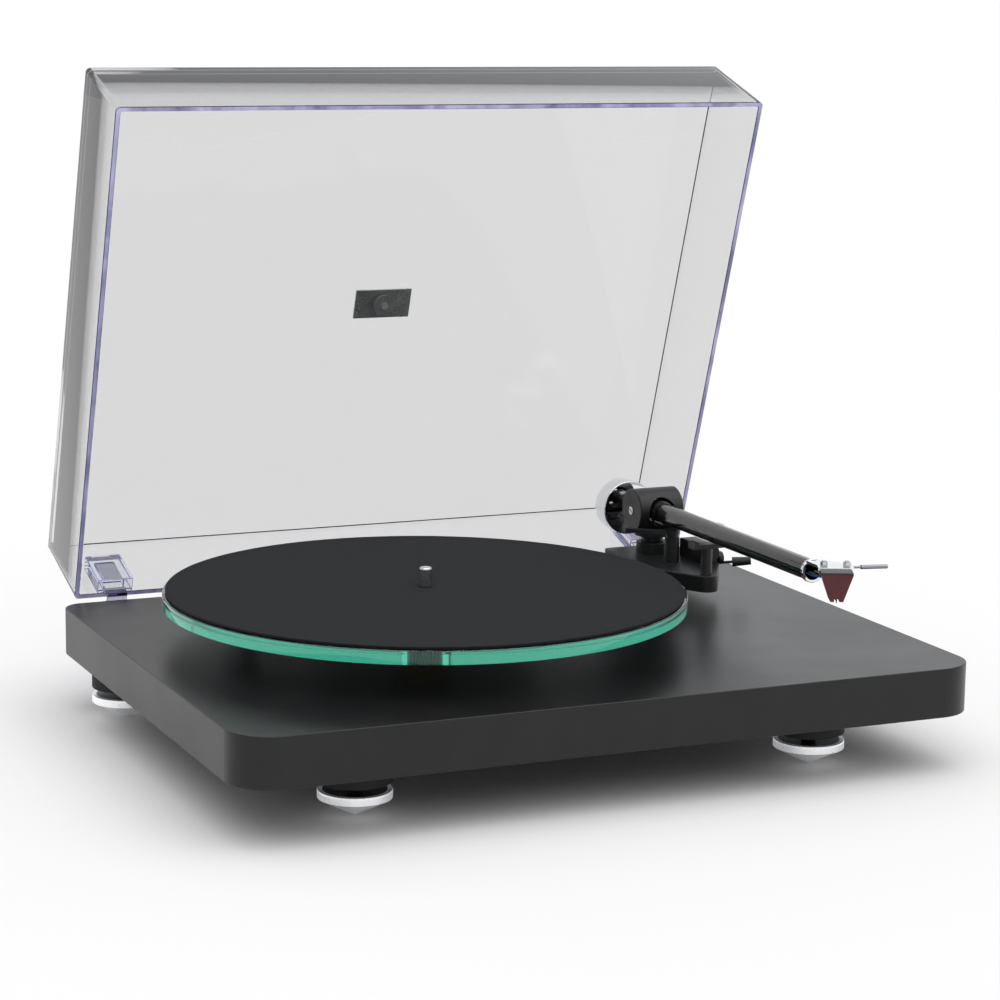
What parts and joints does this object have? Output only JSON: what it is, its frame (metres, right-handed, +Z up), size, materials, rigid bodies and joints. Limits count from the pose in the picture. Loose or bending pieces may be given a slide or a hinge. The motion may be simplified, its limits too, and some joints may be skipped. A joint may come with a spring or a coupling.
{
  "type": "turntable record player",
  "caption": "Belt-drive turntable: slab plinth on cone feet, glass platter with felt mat, pivoted tonearm with lift and counterweight, and a hinged clear dust cover standing open",
  "frame": {"origin": "on the platter spindle's axis, at the top face of the felt mat", "axes": "+Z up along the spindle, -Y to the front of the plinth, +X to the tonearm's side"},
  "size_m": [0.436, 0.4032, 0.3789],
  "materials": {
    "plinth_lacquer": "satin black lacquer on board",
    "black_plastic": "fine texture",
    "black_rubber": "matt, moulded",
    "belt_rubber": "ground flat belt",
    "dark_steel": "blackened",
    "steel": "polished",
    "aluminium": "turned",
    "chrome": "mirror polish",
    "brass_parts": "turned, gold coloured",
    "motor_metal": "plated can",
    "clear_hub": "moulded hub",
    "green_glass": "float glass, green at the edge",
    "felt": "black wool felt",
    "circuit_board": "green board",
    "clear_acrylic": "clear, polished edges",
    "badge_metal": "dark mirror, blank",
    "arm_metal": "satin black",
    "arm_plastic": "satin black",
    "tube_gloss": "gloss black",
    "cartridge_black": "gloss",
    "cartridge_red": "translucent red",
    "lead_wire": "coloured insulation: blue, green, red and white"
  },
  "bodies": {
    "base": {"plinth": "plinth_lacquer", "bottom_covers": "black_plastic", "case_screws": "dark_steel", "bearing_housing": "brass_parts", "thrust_ball": "steel", "motor_case": "motor_metal", "control_board": "circuit_board", "dc_inlet": "black_plastic", "connector_plate": "black_plastic", "phono_sockets": "brass_parts", "ground_terminal": "brass_parts", "switch_housing": "black_plastic", "foot_collars": "black_rubber", "drive_belt": "belt_rubber", "hinge_bracket_left": "dark_steel", "hinge_bracket_right": "dark_steel", "hinge_pins": "steel", "arm_base": "arm_metal", "arm_pillar": "arm_metal", "arm_nut": "steel", "lift_column": "arm_metal", "lift_box": "arm_metal", "arm_rest": "arm_plastic"},
    "platter": {"spindle": "steel", "sub_platter": "clear_hub", "glass_platter": "green_glass", "felt_mat": "felt"},
    "motor_rotor": {"motor_shaft": "steel", "motor_pulley": "aluminium"},
    "lid": {"lid": "clear_acrylic", "lid_badge": "badge_metal", "badge_ring": "black_plastic", "hinge_socket_left": "clear_acrylic", "hinge_socket_right": "clear_acrylic", "hinge_tongue_left": "clear_acrylic", "hinge_tongue_right": "clear_acrylic"},
    "arm_yoke": {"yaw_disc": "arm_metal", "bearing_barrel": "arm_metal", "pivot_screws": "dark_steel"},
    "arm": {"arm_tube": "tube_gloss", "head_ring": "chrome", "headshell": "aluminium", "finger_lift": "steel", "cartridge_body": "cartridge_black", "stylus_unit": "cartridge_red", "cartridge_screws": "steel", "headshell_leads": "lead_wire"},
    "counterweight": {"counterweight": "chrome"},
    "lift_platform": {"lift_platform": "arm_metal"},
    "cue_lever": {"cue_lever": "arm_metal"},
    "bias_knob": {"bias_knob": "aluminium"},
    "power_rocker": {"power_rocker": "black_plastic"},
    "foot_front_left": {"foot_cone_front_left": "aluminium", "foot_stud_front_left": "dark_steel"},
    "foot_front_right": {"foot_cone_front_right": "aluminium", "foot_stud_front_right": "dark_steel"},
    "foot_rear_left": {"foot_cone_rear_left": "aluminium", "foot_stud_rear_left": "dark_steel"},
    "foot_rear_right": {"foot_cone_rear_right": "aluminium", "foot_stud_rear_right": "dark_steel"}
  },
  "joints": [
    {"name": "lid_hinge", "type": "hinge", "parent": "base", "child": "lid", "pos_m": [0.0452, 0.161, -0.0352], "axis": [-1, 0, 0], "range_deg": [-71.8, 3]},
    {"name": "platter_spin", "type": "hinge", "parent": "base", "child": "platter", "pos_m": [0, 0, -0.03], "axis": [0, 0, 1], "continuous": true},
    {"name": "motor_spin", "type": "hinge", "parent": "base", "child": "motor_rotor", "pos_m": [-0.092, 0.062, -0.03], "axis": [0, 0, 1], "continuous": true},
    {"name": "arm_yaw", "type": "hinge", "parent": "base", "child": "arm_yoke", "pos_m": [0.1886, 0.0842, 0], "axis": [0, 0, 1], "range_deg": [-53, 0]},
    {"name": "arm_pitch", "type": "hinge", "parent": "arm_yoke", "child": "arm", "pos_m": [0.1886, 0.0842, 0.0178], "axis": [-1, 0, 0], "range_deg": [-1.2, 8]},
    {"name": "counterweight_slide", "type": "slide", "parent": "arm", "child": "counterweight", "axis": [0, 1, 0], "range_m": [-0.012, 0.003]},
    {"name": "cue_lever_turn", "type": "hinge", "parent": "base", "child": "cue_lever", "pos_m": [0.2145, 0.0443, -0.0073], "axis": [1, 0, 0], "range_deg": [0, 35]},
    {"name": "lift_slide", "type": "slide", "parent": "base", "child": "lift_platform", "axis": [0, 0, 1], "range_m": [-0.0025, 0]},
    {"name": "bias_knob_turn", "type": "hinge", "parent": "base", "child": "bias_knob", "pos_m": [0.2057, 0.0385, -0.0026], "axis": [0, -1, 0], "range_deg": [0, 270]},
    {"name": "power_rocker_turn", "type": "hinge", "parent": "base", "child": "power_rocker", "pos_m": [-0.138, -0.13, -0.054], "axis": [0, -1, 0], "range_deg": [0, 12]},
    {"name": "level_front_left", "type": "slide", "parent": "base", "child": "foot_front_left", "axis": [0, 0, -1], "range_m": [0, 0.004]},
    {"name": "level_front_right", "type": "slide", "parent": "base", "child": "foot_front_right", "axis": [0, 0, -1], "range_m": [0, 0.004]},
    {"name": "level_rear_left", "type": "slide", "parent": "base", "child": "foot_rear_left", "axis": [0, 0, -1], "range_m": [0, 0.004]},
    {"name": "level_rear_right", "type": "slide", "parent": "base", "child": "foot_rear_right", "axis": [0, 0, -1], "range_m": [0, 0.004]}
  ],
  "couplings": [
    {"joint": "motor_spin", "follows": "platter_spin", "ratio": 7.5},
    {"joint": "cue_lever_turn", "follows": "lift_slide", "rad_per_m": -244.35}
  ]
}
